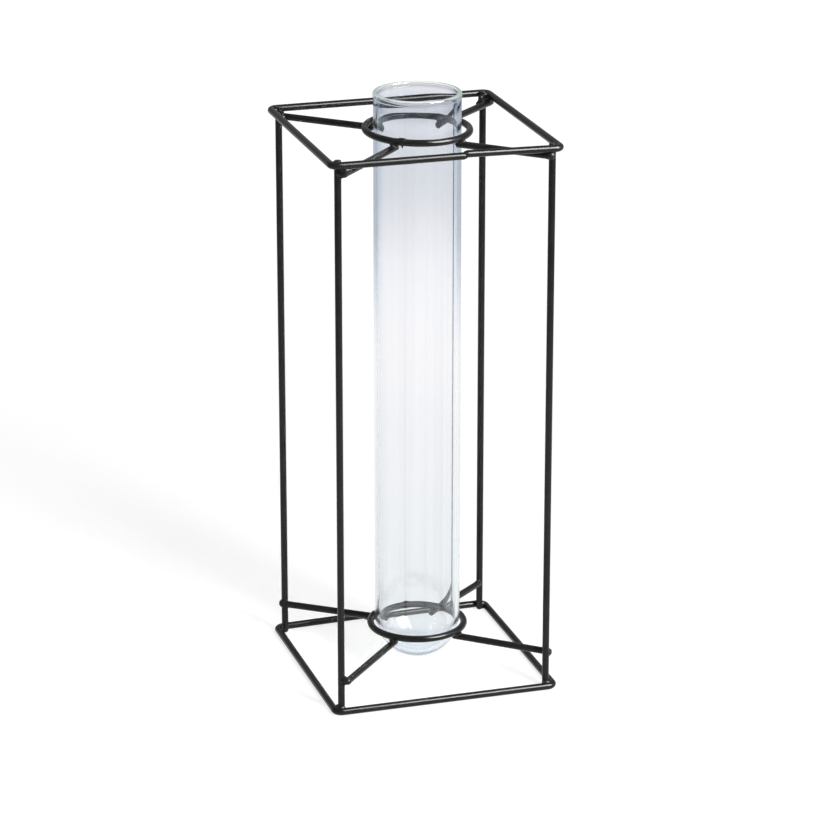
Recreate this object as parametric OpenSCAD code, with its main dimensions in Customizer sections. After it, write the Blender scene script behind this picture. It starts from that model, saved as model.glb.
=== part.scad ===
// Bud vase: a round-bottomed glass tube held upright in a square frame of welded black wire.
// Two square hoops and four posts make the frame. In it four upper spokes carry a ring that
// steadies the tube, and four lower spokes carry a smaller ring. The tips of the lower spokes
// reach inside their ring, and the round bottom of the tube rests on these four tips.
// Millimetres, +Z up. The origin lies on the table, under the middle of the square frame.
// Corners are counted anticlockwise from above: front left, front right, back right, back left.

/* [Frame] */
// Width of each square hoop, between the centres of its wires
hoop_w = 100; // [84:1:160]
// Height of the frame, from the table to the top of the upper hoop
frame_h = 248; // [160:1:400]
// Wire diameter of the two hoops
hoop_wire_d = 3.2; // [2.4:0.1:5]
// Wire diameter of the four posts
post_wire_d = 3; // [2.4:0.1:5]
// Wire diameter of the eight spokes
spoke_wire_d = 3; // [2.4:0.1:4]
// Wire diameter of the two rings
ring_wire_d = 3; // [2.4:0.1:4]

/* [Glass tube] */
// Outer diameter of the tube
tube_d = 38; // [26:1:48]
// Wall thickness of the glass
tube_wall = 1.8; // [1.2:0.1:3]
// How far the rim stands above the frame
rim_rise = 14.5; // [6:0.5:40]
// Height of the round bottom's lowest point above the table
tube_foot_gap = 2.9; // [2:0.1:8]
// How far the fire-rounded bead of the rim stands out from the wall
rim_bead_out = 0.2; // [0:0.1:0.5]
// How far the rings and the tube sit to the right of the frame's middle
tube_offset = 2; // [-4:0.5:4]

/* [Rings and spokes] */
// Gap between the tube and the top ring
top_ring_clearance = 2; // [1:0.1:4]
// How far the top ring's wire centre lies below the top of the frame
top_ring_drop = 2; // [1.5:0.1:12]
// How far the top ring leans out of level, in degrees
top_ring_lean = 1.8; // [0:0.1:2.5]
// Direction of the top ring's high side, in degrees from the right, anticlockwise
top_ring_lean_dir = 115; // [0:5:355]
// Gap between the tips of the top spokes and the glass
top_tip_clearance = 1.2; // [0.6:0.1:2]
// Gap between the tube's diameter and the bottom ring
bottom_ring_clearance = 0.4; // [0.3:0.1:1]
// Height of the bottom ring's wire centre above the table
bottom_ring_h = 18.2; // [12:0.1:24]
// Gap between the round bottom and the four tips that it rests on
seat_gap = 0.3; // [0.2:0.05:0.5]

/* [Welds] */
// Gap between two wires that lie side by side, bridged by their weld
weld_gap = 0.05; // [0.02:0.01:0.15]
// Diameter of the weld beads where two wires cross
cross_weld_d = 3.8; // [3.2:0.1:4.6]
// Diameter of the bead that runs round a post under or over its hoop corner
corner_weld_d = 1.8; // [1.2:0.1:2.4]
// How far the seam welds of hoops and rings stand proud of their wire
seam_weld_out = 0.3; // [0.1:0.05:0.5]
// Gap between the two ends of a hoop or ring, filled by its seam weld
seam_gap = 0.4; // [0.2:0.1:0.8]
// Distance of the hoops' seams from the frame's middle, right at the top and left at the bottom
seam_x = 9; // [-20:1:20]
// How much higher the right end of a hoop's wire lies than its left end at the seam
seam_step = 0.8; // [0:0.1:1.2]
// Direction of the top ring's seam from its centre, in degrees
top_ring_seam_dir = 236; // [0:1:359]
// Direction of the bottom ring's seam from its centre, in degrees
bottom_ring_seam_dir = 88; // [0:1:359]
// Bevel left on every cut wire end
cut_bevel = 0.25; // [0.1:0.05:0.6]

/* [Hidden] */

glass_colour = [0.84, 0.91, 0.94, 0.5];
paint_colour = [0.15, 0.15, 0.16];
weld_colour = [0.22, 0.22, 0.23];

// Which side of its post each spoke passes, looking along it to the ring: 1 left, -1 right,
// 0 where its outer end butts against the post
top_side = [-1, 1, 1, 1];
bottom_side = [-1, -1, 0, -1];
// How far right of its line each spoke leaves the ring's centre, as shares of the ring's radius
top_aim_share = [0, 0.04, -0.02, 0.12];
bottom_aim_share = [0.11, 0.07, -0.12, 0.27];
// How far each spoke that passes its post runs on past it, as shares of its wire diameter
top_tail_share = [0.25, 0.25, 0.85, 0.3];
bottom_tail_share = [0.1, 0.5, 0, 0.3];
// How far each top spoke's outer end lies below the upper hoop, as shares of its wire diameter
top_drop_share = [0.27, 0, 0.04, 0.1];
// How much higher each bottom spoke's outer end lies than its inner end, as such shares
bottom_rise_share = [0, 0.17, -0.63, 0.07];
// Sweep of the weld bead round each post at the hoop corners, in degrees
corner_weld_sweep = 100;

hoop_r = hoop_wire_d / 2;
post_r = post_wire_d / 2;
spoke_r = spoke_wire_d / 2;
ring_r = ring_wire_d / 2;
tube_r = tube_d / 2;
bore_r = tube_r - tube_wall;
rim_bead_r = (tube_wall + rim_bead_out) / 2;
cross_weld_r = cross_weld_d / 2;
corner_weld_r = corner_weld_d / 2;

// The hoops bend round the posts, so the bend and the post share one centre
bend_r = hoop_r + post_r + weld_gap;
post_c = hoop_w / 2 - bend_r;
top_hoop_z = frame_h - hoop_r;
bottom_hoop_z = hoop_r;

ring_centre = [tube_offset, 0];
top_ring_z = frame_h - top_ring_drop;
top_ring_r = tube_r + top_ring_clearance + ring_r;
bottom_ring_r = tube_r + bottom_ring_clearance + ring_r;
dome_z = tube_foot_gap + tube_r;
rim_z = frame_h + rim_rise;
tube_len = rim_z - tube_foot_gap;

// Steps from wire centre to wire centre, sideways at a post and down from a ring or hoop
side_step = post_r + spoke_r + weld_gap;
ring_step = ring_r + spoke_r + weld_gap;
hoop_step = hoop_r + spoke_r + weld_gap;

corner_sign = [[-1, -1], [1, -1], [1, 1], [-1, 1]];

$fa = 3;
$fs = 0.4;

function post_at(i) = post_c * corner_sign[i];
function ahead(a) = [cos(a), sin(a)];
function left_of(a) = [-sin(a), cos(a)];

// Direction of the spoke that passes its post on the given side and leaves the ring's centre
// the given distance to its right
function spoke_dir(i, side, miss) =
    let (to_ring = ring_centre - post_at(i))
    atan2(to_ring[1], to_ring[0]) + asin((miss - side * side_step) / norm(to_ring));
// Point of the spoke's line beside its post
function spoke_root(i, side, dir) = post_at(i) + side * side_step * left_of(dir);
// Distance along the spoke from its root to the point beside the ring's centre
function spoke_run(i, side, dir) = (ring_centre - spoke_root(i, side, dir)) * ahead(dir);
// Point where the spoke passes the ring's wire
function spoke_crossing(i, side, dir, miss, r) =
    spoke_root(i, side, dir) + (spoke_run(i, side, dir) - sqrt(r * r - miss * miss)) * ahead(dir);
// Distance from the ring's centre line to a spoke tip that keeps this gap to the glass, where
// the centre of the glass lies the given drop above the spoke and the miss to its side
function tip_reach(gap, miss, drop) =
    let (off_axis = max(norm([miss, drop]) - spoke_r, 0))
    sqrt(pow(tube_r + gap, 2) - off_axis * off_axis);
// Height of the leaning top ring's wire centre over a point
function top_ring_z_at(p) =
    top_ring_z + tan(top_ring_lean) * ((p - ring_centre) * ahead(top_ring_lean_dir));

// The values of each spoke, worked out once for its module and for its welds
top_miss = [for (i = [0:3]) top_aim_share[i] * top_ring_r];
top_dir = [for (i = [0:3]) spoke_dir(i, top_side[i], top_miss[i])];
top_crossing = [for (i = [0:3])
    spoke_crossing(i, top_side[i], top_dir[i], top_miss[i], top_ring_r)];
// Heights of the spokes' centre lines beside their posts and where they pass the rings. The top
// spokes stay under the hoop that their tails reach.
top_outer_z = [for (i = [0:3]) top_hoop_z - hoop_step - top_drop_share[i] * spoke_wire_d];
top_inner_z = [for (i = [0:3])
    min(top_ring_z_at(top_crossing[i]) - ring_step, top_hoop_z - hoop_step)];
bottom_miss = [for (i = [0:3]) bottom_aim_share[i] * bottom_ring_r];
bottom_dir = [for (i = [0:3]) spoke_dir(i, bottom_side[i], bottom_miss[i])];
bottom_crossing = [for (i = [0:3])
    spoke_crossing(i, bottom_side[i], bottom_dir[i], bottom_miss[i], bottom_ring_r)];
bottom_inner_z = bottom_ring_h - ring_step;
bottom_outer_z = [for (i = [0:3]) bottom_inner_z + bottom_rise_share[i] * spoke_wire_d];

// Straight wire along +Z with bevelled ends
module wire(len, r) {
    rotate_extrude()
        polygon([[0, 0], [r - cut_bevel, 0], [r, cut_bevel], [r, len - cut_bevel],
            [r - cut_bevel, len], [0, len]]);
}

// Straight wire between two points, with square ends
module rod(from, to, r) {
    run = to - from;
    len = norm(run);
    translate(from)
        rotate([0, acos(run[2] / len), atan2(run[1], run[0])])
            cylinder(h = len, r = r);
}

// Quarter bend of a hoop, round the post of corner i
module hoop_bend(i) {
    translate([post_at(i)[0], post_at(i)[1], 0])
        rotate([0, 0, 180 + i * 90])
            rotate_extrude(angle = 90)
                translate([bend_r, 0])
                    circle(r = hoop_r);
}

// One hoop at height zero, with its seam in the front wire: a single wire bent at the corners.
// The front right bend and the wire's right end are turned up about the right-hand wire,
// which both groups share.
module hoop() {
    half = hoop_w / 2;
    turn_up = atan(seam_step / (half - seam_x));
    for (i = [0, 2, 3])
        hoop_bend(i);
    rod([-post_c, -half, 0], [seam_x - seam_gap / 2, -half, 0], hoop_r);
    rod([half, -post_c, 0], [half, post_c, 0], hoop_r);
    rod([post_c, half, 0], [-post_c, half, 0], hoop_r);
    rod([-half, post_c, 0], [-half, -post_c, 0], hoop_r);
    translate([half, 0, 0])
        rotate([0, turn_up, 0])
            translate([-half, 0, 0]) {
                hoop_bend(1);
                rod([post_c, -half, 0], [seam_x + seam_gap / 2, -half, 0], hoop_r);
                rod([half, -post_c, 0], [half, post_c, 0], hoop_r);
            }
}

module top_hoop() {
    color(paint_colour)
        translate([0, 0, top_hoop_z])
            hoop();
}

// The lower hoop is the same hoop turned half round, so its seam lies in the back wire
module bottom_hoop() {
    color(paint_colour)
        translate([0, 0, bottom_hoop_z])
            rotate([0, 0, 180])
                hoop();
}

module post(i) {
    color(paint_colour)
        translate([post_at(i)[0], post_at(i)[1], 0])
            wire(frame_h, post_r);
}

// Ring of wire round the origin, open by the seam gap
module ring(r, seam_dir) {
    open = 2 * asin(seam_gap / 2 / r);
    rotate([0, 0, seam_dir + open / 2])
        rotate_extrude(angle = 360 - open)
            translate([r, 0])
                circle(r = ring_r);
}

// Leans its children with the top ring, about the ring's centre
module leaning() {
    translate([ring_centre[0], ring_centre[1], top_ring_z])
        rotate(a = top_ring_lean, v = [sin(top_ring_lean_dir), -cos(top_ring_lean_dir), 0])
            children();
}

module top_ring() {
    color(paint_colour)
        leaning()
            ring(top_ring_r, top_ring_seam_dir);
}

module bottom_ring() {
    color(paint_colour)
        translate([ring_centre[0], ring_centre[1], bottom_ring_h])
            ring(bottom_ring_r, bottom_ring_seam_dir);
}

// Spoke from its tail to its tip, through the given heights beside its post and at the ring.
// A spoke that butts against its post ends a weld gap before it.
module spoke(i, side, dir, outer_z, inner_z, crossing, tail_share, reach) {
    root = spoke_root(i, side, dir);
    pitch = atan((inner_z - outer_z) / norm(crossing - root));
    butt_gap = weld_gap + spoke_r * abs(sin(pitch));
    tail = side == 0 ? -post_r - butt_gap : tail_share * spoke_wire_d;
    len = tail + spoke_run(i, side, dir) - reach;
    color(paint_colour)
        translate([root[0], root[1], outer_z])
            rotate([0, 90 - pitch, dir])
                translate([0, 0, -tail])
                    wire(len / cos(pitch), spoke_r);
}

module top_spoke(i) {
    spoke(i, top_side[i], top_dir[i], top_outer_z[i], top_inner_z[i], top_crossing[i],
        top_tail_share[i], tip_reach(top_tip_clearance, top_miss[i], 0));
}

module bottom_spoke(i) {
    spoke(i, bottom_side[i], bottom_dir[i], bottom_outer_z[i], bottom_inner_z,
        bottom_crossing[i], bottom_tail_share[i],
        tip_reach(seat_gap, bottom_miss[i], dome_z - bottom_inner_z));
}

// Half section of a round-bottomed body, its lowest point at height zero above the dome's centre
module dome_section(r, top) {
    intersection() {
        circle(r = r);
        translate([0, -r])
            square([r, r]);
    }
    square([r, top]);
}

// Test-tube shaped glass: hemispherical bottom, straight wall and a fire-rounded rim
module glass_tube() {
    wall_top = tube_len - tube_r - rim_bead_r;
    color(glass_colour)
        translate([ring_centre[0], ring_centre[1], dome_z])
            rotate_extrude() {
                difference() {
                    dome_section(tube_r, wall_top);
                    dome_section(bore_r, wall_top + tube_wall);
                }
                translate([bore_r + rim_bead_r, wall_top])
                    circle(r = rim_bead_r);
            }
}

// Beads in the grooves between the posts and a hoop's corners, at height zero
module corner_welds() {
    for (i = [0:3])
        translate([post_at(i)[0], post_at(i)[1], 0])
            rotate([0, 0, 225 + i * 90 - corner_weld_sweep / 2])
                rotate_extrude(angle = corner_weld_sweep)
                    translate([post_r + corner_weld_r / 2, 0])
                        circle(r = corner_weld_r);
}

module top_corner_welds() {
    color(weld_colour)
        translate([0, 0, top_hoop_z - hoop_r])
            corner_welds();
}

module bottom_corner_welds() {
    color(weld_colour)
        translate([0, 0, bottom_hoop_z + hoop_r])
            corner_welds();
}

// Bead between a spoke and its post
module post_weld(i, side, dir, z) {
    at = post_at(i) + (post_r + weld_gap / 2) * (side == 0 ? ahead(dir) : side * left_of(dir));
    translate([at[0], at[1], z])
        sphere(r = cross_weld_r);
}

module top_post_welds() {
    color(weld_colour)
        for (i = [0:3])
            post_weld(i, top_side[i], top_dir[i], top_outer_z[i]);
}

module bottom_post_welds() {
    color(weld_colour)
        for (i = [0:3])
            post_weld(i, bottom_side[i], bottom_dir[i], bottom_outer_z[i]);
}

// Bead between a spoke and the ring over it
module ring_weld(at, ring_z, spoke_z) {
    translate([at[0], at[1], (ring_z - ring_r + spoke_z + spoke_r) / 2])
        sphere(r = cross_weld_r);
}

module top_ring_welds() {
    color(weld_colour)
        for (i = [0:3])
            ring_weld(top_crossing[i], top_ring_z_at(top_crossing[i]), top_inner_z[i]);
}

module bottom_ring_welds() {
    color(weld_colour)
        for (i = [0:3])
            ring_weld(bottom_crossing[i], bottom_ring_h, bottom_inner_z);
}

// Beads that close the two hoops; the lower one stays clear of the table
module hoop_seam_welds() {
    bead_r = hoop_r + seam_weld_out;
    color(weld_colour) {
        translate([seam_x, -hoop_w / 2, top_hoop_z + seam_step / 2])
            sphere(r = bead_r);
        translate([-seam_x, hoop_w / 2, bottom_hoop_z + max(seam_step / 2, seam_weld_out)])
            sphere(r = bead_r);
    }
}

// Beads that close the two rings
module ring_seam_welds() {
    color(weld_colour) {
        leaning()
            translate(concat(top_ring_r * ahead(top_ring_seam_dir), [0]))
                sphere(r = ring_r + seam_weld_out);
        translate(concat(ring_centre + bottom_ring_r * ahead(bottom_ring_seam_dir),
            [bottom_ring_h]))
            sphere(r = ring_r + seam_weld_out);
    }
}

glass_tube();
top_hoop();
bottom_hoop();
post(0);  // post_front_left
post(1);  // post_front_right
post(2);  // post_back_right
post(3);  // post_back_left
top_ring();
bottom_ring();
top_spoke(0);  // top_spoke_front_left
top_spoke(1);  // top_spoke_front_right
top_spoke(2);  // top_spoke_back_right
top_spoke(3);  // top_spoke_back_left
bottom_spoke(0);  // bottom_spoke_front_left
bottom_spoke(1);  // bottom_spoke_front_right
bottom_spoke(2);  // bottom_spoke_back_right
bottom_spoke(3);  // bottom_spoke_back_left
top_corner_welds();
bottom_corner_welds();
top_post_welds();
bottom_post_welds();
top_ring_welds();
bottom_ring_welds();
hoop_seam_welds();
ring_seam_welds();
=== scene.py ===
import math

import bpy
import numpy as np
from mathutils import Matrix, Vector


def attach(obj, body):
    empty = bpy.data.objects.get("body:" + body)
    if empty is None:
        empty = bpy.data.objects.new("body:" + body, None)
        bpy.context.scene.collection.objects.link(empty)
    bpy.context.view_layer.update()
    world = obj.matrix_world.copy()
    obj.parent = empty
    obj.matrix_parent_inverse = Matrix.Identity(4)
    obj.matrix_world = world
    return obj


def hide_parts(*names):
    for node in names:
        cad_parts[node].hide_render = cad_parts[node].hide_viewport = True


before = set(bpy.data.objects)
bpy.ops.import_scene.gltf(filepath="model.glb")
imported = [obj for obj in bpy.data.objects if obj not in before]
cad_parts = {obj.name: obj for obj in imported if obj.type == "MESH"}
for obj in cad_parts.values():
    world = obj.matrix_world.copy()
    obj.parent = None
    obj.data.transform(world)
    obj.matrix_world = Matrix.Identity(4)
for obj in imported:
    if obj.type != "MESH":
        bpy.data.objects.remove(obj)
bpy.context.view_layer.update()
print("bud vase: solids loaded")

mm = 0.001

# Sizes that several pieces share, as in the solids; corners run front left, front right,
# back right, back left
cradle = {
    "hoopWidth": 100 * mm,
    "frameHeight": 248 * mm,
    "hoopWire": 3.2 * mm,
    "postWire": 3 * mm,
    "spokeWire": 3 * mm,
    "ringWire": 3 * mm,
    "paint": 0.04 * mm,
    "cornerBend": 3.15 * mm,
    "tubeMiddle": Vector((2 * mm, 0, 0)),
}
cornerNames = ["front_left", "front_right", "back_right", "back_left"]
cornerSigns = [(-1, -1), (1, -1), (1, 1), (-1, 1)]


def nodePoints(name):
    # a solid's points, those closer than a ten-thousandth of a millimetre taken as one
    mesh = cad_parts[name].data
    flat = np.empty(len(mesh.vertices) * 3)
    mesh.vertices.foreach_get("co", flat)
    return np.unique(np.round(flat.reshape(-1, 3), 7), axis=0)


def wireLine(name):
    # the two ends of a straight wire, read from its solid
    points = nodePoints(name)
    middle = (points.min(axis=0) + points.max(axis=0)) / 2
    way = np.linalg.svd(points - points.mean(axis=0))[2][0]
    along = (points - middle) @ way
    return Vector(middle + way * along.min()), Vector(middle + way * along.max())


def plainMesh(obj, name):
    # what the modifiers make of a piece, as a plain mesh that keeps its material
    graph = bpy.context.evaluated_depsgraph_get()
    mesh = bpy.data.meshes.new_from_object(obj.evaluated_get(graph), depsgraph=graph)
    mesh.name = name
    obj.modifiers.clear()
    old = obj.data
    obj.data = mesh
    obj.name = name
    if old.users == 0:
        bpy.data.meshes.remove(old)
    return obj


def makeGroup(name, inputs, outputs):
    group = bpy.data.node_groups.new(name, "ShaderNodeTree")
    for label, kind, value in inputs:
        socket = group.interface.new_socket(label, in_out="INPUT", socket_type=kind)
        socket.default_value = value
    for label, kind in outputs:
        group.interface.new_socket(label, in_out="OUTPUT", socket_type=kind)
    return group, group.nodes.new("NodeGroupInput"), group.nodes.new("NodeGroupOutput")


def feed(tree, socket, value):
    # a socket takes either another socket's value or a plain one
    if isinstance(value, bpy.types.NodeSocket):
        tree.links.new(value, socket)
    else:
        socket.default_value = value


def mathNode(tree, operation, *given):
    node = tree.nodes.new("ShaderNodeMath")
    node.operation = operation
    for socket, value in zip(node.inputs, given):
        feed(tree, socket, value)
    return node.outputs[0]


def remap(tree, value, low, high, toLow=0.0, toHigh=1.0, kind="SMOOTHSTEP"):
    node = tree.nodes.new("ShaderNodeMapRange")
    node.interpolation_type = kind
    for label, given in (("Value", value), ("From Min", low), ("From Max", high),
                         ("To Min", toLow), ("To Max", toHigh)):
        feed(tree, node.inputs[label], given)
    return node.outputs["Result"]


def mixed(tree, factor, a, b, blend="MIX"):
    node = tree.nodes.new("ShaderNodeMix")
    node.data_type = "RGBA"
    node.blend_type = blend
    for label, given in (("Factor", factor), ("A", a), ("B", b)):
        feed(tree, node.inputs[label], given)
    return node.outputs["Result"]


# Paint that was sprayed over wire: faint orange peel, dust that settled in it, thin and thick
# places that turn the gloss up and down
sprayValues = {
    "patchDetail": 4,
    "peelDetail": 2,
    # specks are this much finer than the peel; they fade out from their middle
    "speckSize": 0.7,
    "speckFrom": 0.16,
    "speckTo": 0.05,
    "speckDust": 0.35,
    "thinFrom": 0.35,
    "thinTo": 0.7,
    "peelHeight": 0.6,
    "speckHeight": 0.4,
}


def sprayedPaintGroup(values):
    group, given, result = makeGroup(
        "sprayed paint",
        [("Coordinates", "NodeSocketVector", (0, 0, 0)),
         ("Deep colour", "NodeSocketColor", (0.02, 0.02, 0.02, 1)),
         ("Dusty colour", "NodeSocketColor", (0.05, 0.05, 0.05, 1)),
         ("Gloss low", "NodeSocketFloat", 0.5),
         ("Gloss high", "NodeSocketFloat", 0.35),
         ("Peel size", "NodeSocketFloat", 1400.0),
         ("Patch size", "NodeSocketFloat", 90.0)],
        [("Colour", "NodeSocketColor"), ("Roughness", "NodeSocketFloat"),
         ("Height", "NodeSocketFloat")])
    link = group.links.new

    patches = group.nodes.new("ShaderNodeTexNoise")
    patches.inputs["Detail"].default_value = values["patchDetail"]
    link(given.outputs["Coordinates"], patches.inputs["Vector"])
    link(given.outputs["Patch size"], patches.inputs["Scale"])

    peel = group.nodes.new("ShaderNodeTexNoise")
    peel.inputs["Detail"].default_value = values["peelDetail"]
    link(given.outputs["Coordinates"], peel.inputs["Vector"])
    link(given.outputs["Peel size"], peel.inputs["Scale"])

    grit = group.nodes.new("ShaderNodeTexVoronoi")
    link(given.outputs["Coordinates"], grit.inputs["Vector"])
    finer = mathNode(group, "MULTIPLY", given.outputs["Peel size"], values["speckSize"])
    link(finer, grit.inputs["Scale"])
    speck = remap(group, grit.outputs["Distance"], values["speckFrom"], values["speckTo"],
                  kind="LINEAR")
    thin = remap(group, patches.outputs["Fac"], values["thinFrom"], values["thinTo"], kind="LINEAR")

    dust = mathNode(group, "MAXIMUM", thin, mathNode(group, "MULTIPLY", speck, values["speckDust"]))
    colour = mixed(group, dust, given.outputs["Deep colour"], given.outputs["Dusty colour"])
    link(colour, result.inputs["Colour"])
    gloss = remap(group, thin, 0.0, 1.0, given.outputs["Gloss high"], given.outputs["Gloss low"],
                  kind="LINEAR")
    link(gloss, result.inputs["Roughness"])

    high = mathNode(group, "MULTIPLY", peel.outputs["Fac"], values["peelHeight"])
    specks = mathNode(group, "MULTIPLY", speck, values["speckHeight"])
    link(mathNode(group, "ADD", high, specks), result.inputs["Height"])
    return group


paintGroup = sprayedPaintGroup(sprayValues)


def paintMaterial(name, values):
    material = bpy.data.materials.new(name)
    material.use_nodes = True
    tree = material.node_tree
    skin = tree.nodes["Principled BSDF"]
    place = tree.nodes.new("ShaderNodeTexCoord")
    paint = tree.nodes.new("ShaderNodeGroup")
    paint.node_tree = paintGroup
    tree.links.new(place.outputs["Object"], paint.inputs["Coordinates"])
    for label in ("Deep colour", "Dusty colour", "Gloss low", "Gloss high", "Peel size",
                  "Patch size"):
        paint.inputs[label].default_value = values[label]
    bump = tree.nodes.new("ShaderNodeBump")
    bump.inputs["Strength"].default_value = values["Bump strength"]
    bump.inputs["Distance"].default_value = values["Bump depth"]
    tree.links.new(paint.outputs["Height"], bump.inputs["Height"])
    tree.links.new(paint.outputs["Colour"], skin.inputs["Base Color"])
    tree.links.new(paint.outputs["Roughness"], skin.inputs["Roughness"])
    tree.links.new(bump.outputs["Normal"], skin.inputs["Normal"])
    skin.inputs["Specular IOR Level"].default_value = values["Specular"]
    return material


wirePaint = paintMaterial("satin black wire paint", {
    "Deep colour": (0.0135, 0.0125, 0.012, 1),
    "Dusty colour": (0.021, 0.0198, 0.0188, 1),
    "Gloss low": 0.24,
    "Gloss high": 0.17,
    "Peel size": 900.0,
    "Patch size": 120.0,
    "Bump strength": 0.06,
    "Bump depth": 0.05 * mm,
    "Specular": 0.22,
})
weldPaint = paintMaterial("thick black weld paint", {
    "Deep colour": (0.0125, 0.0118, 0.0112, 1),
    "Dusty colour": (0.023, 0.0218, 0.0206, 1),
    "Gloss low": 0.4,
    "Gloss high": 0.26,
    "Peel size": 700.0,
    "Patch size": 420.0,
    "Bump strength": 0.3,
    "Bump depth": 0.1 * mm,
    "Specular": 0.22,
})
print("bud vase: paints mixed")


def makeTree(name, inputs):
    tree = bpy.data.node_groups.new(name, "GeometryNodeTree")
    tree.interface.new_socket("Geometry", in_out="INPUT", socket_type="NodeSocketGeometry")
    for label, kind, value in inputs:
        socket = tree.interface.new_socket(label, in_out="INPUT", socket_type=kind)
        if value is not None:
            socket.default_value = value
    tree.interface.new_socket("Geometry", in_out="OUTPUT", socket_type="NodeSocketGeometry")
    return tree, tree.nodes.new("NodeGroupInput"), tree.nodes.new("NodeGroupOutput")


def setInputs(modifier, values):
    # a tree's inputs are set by the identifiers of their sockets
    for item in modifier.node_group.interface.items_tree:
        if item.item_type == "SOCKET" and item.in_out == "INPUT" and item.name in values:
            modifier[item.identifier] = values[item.name]


def shifted(tree, geometry, height):
    # the surface, moved along its normals
    normal = tree.nodes.new("GeometryNodeInputNormal")
    offset = tree.nodes.new("ShaderNodeVectorMath")
    offset.operation = "SCALE"
    tree.links.new(normal.outputs[0], offset.inputs[0])
    tree.links.new(height, offset.inputs["Scale"])
    shift = tree.nodes.new("GeometryNodeSetPosition")
    tree.links.new(geometry, shift.inputs["Geometry"])
    tree.links.new(offset.outputs["Vector"], shift.inputs["Offset"])
    return shift.outputs["Geometry"]


def unevenness(tree, given, size, detail):
    noise = tree.nodes.new("ShaderNodeTexNoise")
    noise.noise_dimensions = "4D"
    noise.inputs["Detail"].default_value = detail
    tree.links.new(given.outputs[size], noise.inputs["Scale"])
    tree.links.new(given.outputs["Seed"], noise.inputs["W"])
    return noise.outputs["Fac"]


def handOver(tree, geometry, given, result):
    smooth = tree.nodes.new("GeometryNodeSetShadeSmooth")
    tree.links.new(geometry, smooth.inputs["Geometry"])
    real = tree.nodes.new("GeometryNodeRealizeInstances")
    tree.links.new(smooth.outputs["Geometry"], real.inputs["Geometry"])
    coat = tree.nodes.new("GeometryNodeSetMaterial")
    tree.links.new(real.outputs["Geometry"], coat.inputs["Geometry"])
    tree.links.new(given.outputs["Paint"], coat.inputs["Material"])
    tree.links.new(coat.outputs["Geometry"], result.inputs["Geometry"])


wireValues = {
    "waveDetail": 3,
    # points added where a cut end is rounded off, and the least distance of two points
    "endSteps": 6,
    "leastStep": 0.004 * mm,
}


# Sweeps a drawn wire along a path: each cut end is rounded off over its own bevel, and the paint
# is a little thinner here and there
def drawnWireTree():
    tree, given, result = makeTree("drawn wire", [
        ("Wire radius", "NodeSocketFloat", 1.5 * mm),
        ("Sides", "NodeSocketInt", 32),
        ("Start bevel", "NodeSocketFloat", 0.3 * mm),
        ("End bevel", "NodeSocketFloat", 0.3 * mm),
        ("Paint wave", "NodeSocketFloat", 0.03 * mm),
        ("Wave size", "NodeSocketFloat", 160.0),
        ("Seed", "NodeSocketFloat", 0.0),
        ("Paint", "NodeSocketMaterial", None)])
    link = tree.links.new

    toCurve = tree.nodes.new("GeometryNodeMeshToCurve")
    link(given.outputs["Geometry"], toCurve.inputs["Mesh"])

    # what the wire loses of its radius near its two ends
    along = tree.nodes.new("GeometryNodeSplineParameter")
    whole = tree.nodes.new("GeometryNodeSplineLength")
    fromEnd = mathNode(tree, "SUBTRACT", whole.outputs["Length"], along.outputs["Length"])
    radius = given.outputs["Wire radius"]
    for distance, bevel in ((along.outputs["Length"], given.outputs["Start bevel"]),
                            (fromEnd, given.outputs["End bevel"])):
        share = mathNode(tree, "MINIMUM", mathNode(tree, "DIVIDE", distance, bevel), 1.0)
        back = mathNode(tree, "SUBTRACT", 1.0, share)
        drop = mathNode(tree, "SUBTRACT", 1.0, mathNode(tree, "MULTIPLY", back, back))
        drop = mathNode(tree, "MAXIMUM", drop, 0.0)
        rounding = mathNode(tree, "SUBTRACT", 1.0, mathNode(tree, "SQRT", drop))
        lost = mathNode(tree, "MULTIPLY", rounding, bevel)
        radius = mathNode(tree, "SUBTRACT", radius, lost)

    circle = tree.nodes.new("GeometryNodeCurvePrimitiveCircle")
    circle.inputs["Radius"].default_value = 1.0
    link(given.outputs["Sides"], circle.inputs["Resolution"])
    sweep = tree.nodes.new("GeometryNodeCurveToMesh")
    sweep.inputs["Fill Caps"].default_value = True
    link(toCurve.outputs["Curve"], sweep.inputs["Curve"])
    link(circle.outputs["Curve"], sweep.inputs["Profile Curve"])
    link(radius, sweep.inputs["Scale"])

    wave = unevenness(tree, given, "Wave size", wireValues["waveDetail"])
    depth = mathNode(tree, "MULTIPLY", wave, given.outputs["Paint wave"])
    inward = mathNode(tree, "MULTIPLY", depth, -1.0)
    handOver(tree, shifted(tree, sweep.outputs["Mesh"], inward), given, result)
    return tree


wireTree = drawnWireTree()


def straight(a, b, step):
    count = max(2, math.ceil((b - a).length / step) + 1)
    return [a.lerp(b, i / (count - 1)) for i in range(count)]


def arc(centre, radius, start, end, step):
    # two points at least, as for a straight run
    count = max(2, math.ceil(abs(end - start) / step) + 1)
    turns = [start + (end - start) * i / (count - 1) for i in range(count)]
    return [centre + radius * Vector((math.cos(t), math.sin(t), 0)) for t in turns]


def cutEnds(path, bevels):
    # adds points near both ends, where the cut rounds off
    steps = wireValues["endSteps"]
    for bevel in reversed(bevels):
        path.reverse()
        way = (path[1] - path[0]).normalized()
        spots = [bevel * (1 - math.cos(math.pi / 2 * i / steps)) for i in range(steps + 1)]
        path[1:1] = [path[0] + way * spot for spot in spots[1:]]
    return path


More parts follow.
